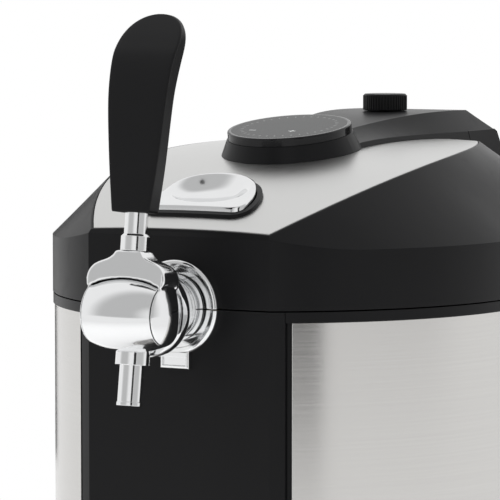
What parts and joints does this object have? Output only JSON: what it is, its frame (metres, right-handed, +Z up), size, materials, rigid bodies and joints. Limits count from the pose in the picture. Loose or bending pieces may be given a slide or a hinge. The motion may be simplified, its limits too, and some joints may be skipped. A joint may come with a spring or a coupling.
{
  "type": "mini keg beer dispenser",
  "caption": "Counter-top cooled beer dispenser for a small keg: oval body with steel sides, hinged lid with display console and latch, chrome tap with paddle handle, drip tray with grid.",
  "frame": {"origin": "on the table under the middle of the overall box", "axes": "+X to the machine's right as seen from the front, -Y out of the front with the tap, +Z up"},
  "size_m": [0.278, 0.4375, 0.4554],
  "materials": {
    "satin_black": "satin moulded",
    "handle_black": "soft satin",
    "gloss_black": "glossy",
    "brushed_steel": "brushed along the length",
    "silver_plate": "fine satin",
    "chrome": "mirror polished",
    "plain_steel": "plain",
    "aluminium": "satin",
    "brass": "turned",
    "rubber": "matte",
    "black_glass": "polished",
    "grey_liner": "satin",
    "white_foam": "foamed",
    "green_board": "lacquered",
    "clear_hose": "clear"
  },
  "bodies": {
    "frame": {"base_plinth": "satin_black", "beer_line": "clear_hose", "body_frame": "satin_black", "cold_plate": "aluminium", "cooling_well": "aluminium", "fan_frame": "satin_black", "flange_lower": "chrome", "foam_jacket": "white_foam", "front_panel": "satin_black", "heat_sink": "aluminium", "hinge_lower_leaf": "plain_steel", "hinge_pin": "plain_steel", "inlet_pins": "brass", "keg_coupler": "gloss_black", "latch_striker": "plain_steel", "peltier_module": "white_foam", "power_board": "green_board", "power_inlet": "gloss_black", "rear_cover": "satin_black", "rear_cover_screws": "plain_steel", "rubber_feet": "rubber", "shank_nut": "brass", "spout": "chrome", "steel_panel_left": "brushed_steel", "steel_panel_right": "brushed_steel", "tap_barrel": "chrome", "tap_shank": "chrome", "tray_tongue": "satin_black"},
    "lid": {"lid_shell": "satin_black", "top_plate": "silver_plate", "lid_liner": "grey_liner", "lid_foam": "white_foam", "lid_seal": "rubber", "hinge_upper_leaf": "plain_steel", "console": "satin_black", "display_rim": "gloss_black", "display_glass": "black_glass", "control_board": "green_board", "regulator_body": "brass", "co2_cartridge": "plain_steel", "cartridge_holder": "brass", "gas_nozzle": "brass", "gas_line": "clear_hose", "latch_base": "satin_black", "latch_spring": "plain_steel", "flange_upper": "chrome"},
    "latch": {"latch_button": "chrome", "latch_hooks": "plain_steel"},
    "lever": {"lever_yoke": "chrome", "pivot_pin": "plain_steel", "lever_rod": "chrome", "tap_handle": "handle_black"},
    "knob": {"pressure_knob": "satin_black"},
    "fan": {"fan_rotor": "satin_black"},
    "rocker": {"rocker_switch": "satin_black"},
    "tray": {"drip_tray": "satin_black"},
    "grid": {"drip_grid": "brushed_steel"}
  },
  "joints": [
    {"name": "lid_hinge", "type": "hinge", "parent": "frame", "child": "lid", "pos_m": [0, 0.21325, 0.298], "axis": [-1, 0, 0], "range_deg": [0, 75]},
    {"name": "latch_press", "type": "slide", "parent": "lid", "child": "latch", "axis": [0, 0, -1], "range_m": [0, 0.003], "stiffness_N_per_m": 900, "springref_m": -0.003, "deforming": ["latch_spring"]},
    {"name": "knob_turn", "type": "hinge", "parent": "lid", "child": "knob", "pos_m": [0, 0.14125, 0.397], "axis": [0, 0, 1], "range_deg": [0, 270]},
    {"name": "tap_lever", "type": "hinge", "parent": "frame", "child": "lever", "pos_m": [0, -0.16475, 0.298], "axis": [1, 0, 0], "range_deg": [0, 32]},
    {"name": "fan_spin", "type": "hinge", "parent": "frame", "child": "fan", "pos_m": [0, 0.12625, 0.165], "axis": [0, 1, 0], "continuous": true},
    {"name": "power_rocker", "type": "hinge", "parent": "frame", "child": "rocker", "pos_m": [0.026, 0.19925, 0.062], "axis": [1, 0, 0], "range_deg": [-8, 8]},
    {"name": "tray_slide", "type": "slide", "parent": "frame", "child": "tray", "axis": [0, -1, 0], "range_m": [0, 0.06]},
    {"name": "grid_lift", "type": "slide", "parent": "tray", "child": "grid", "axis": [0, 0, 1], "range_m": [0, 0.03]}
  ]
}
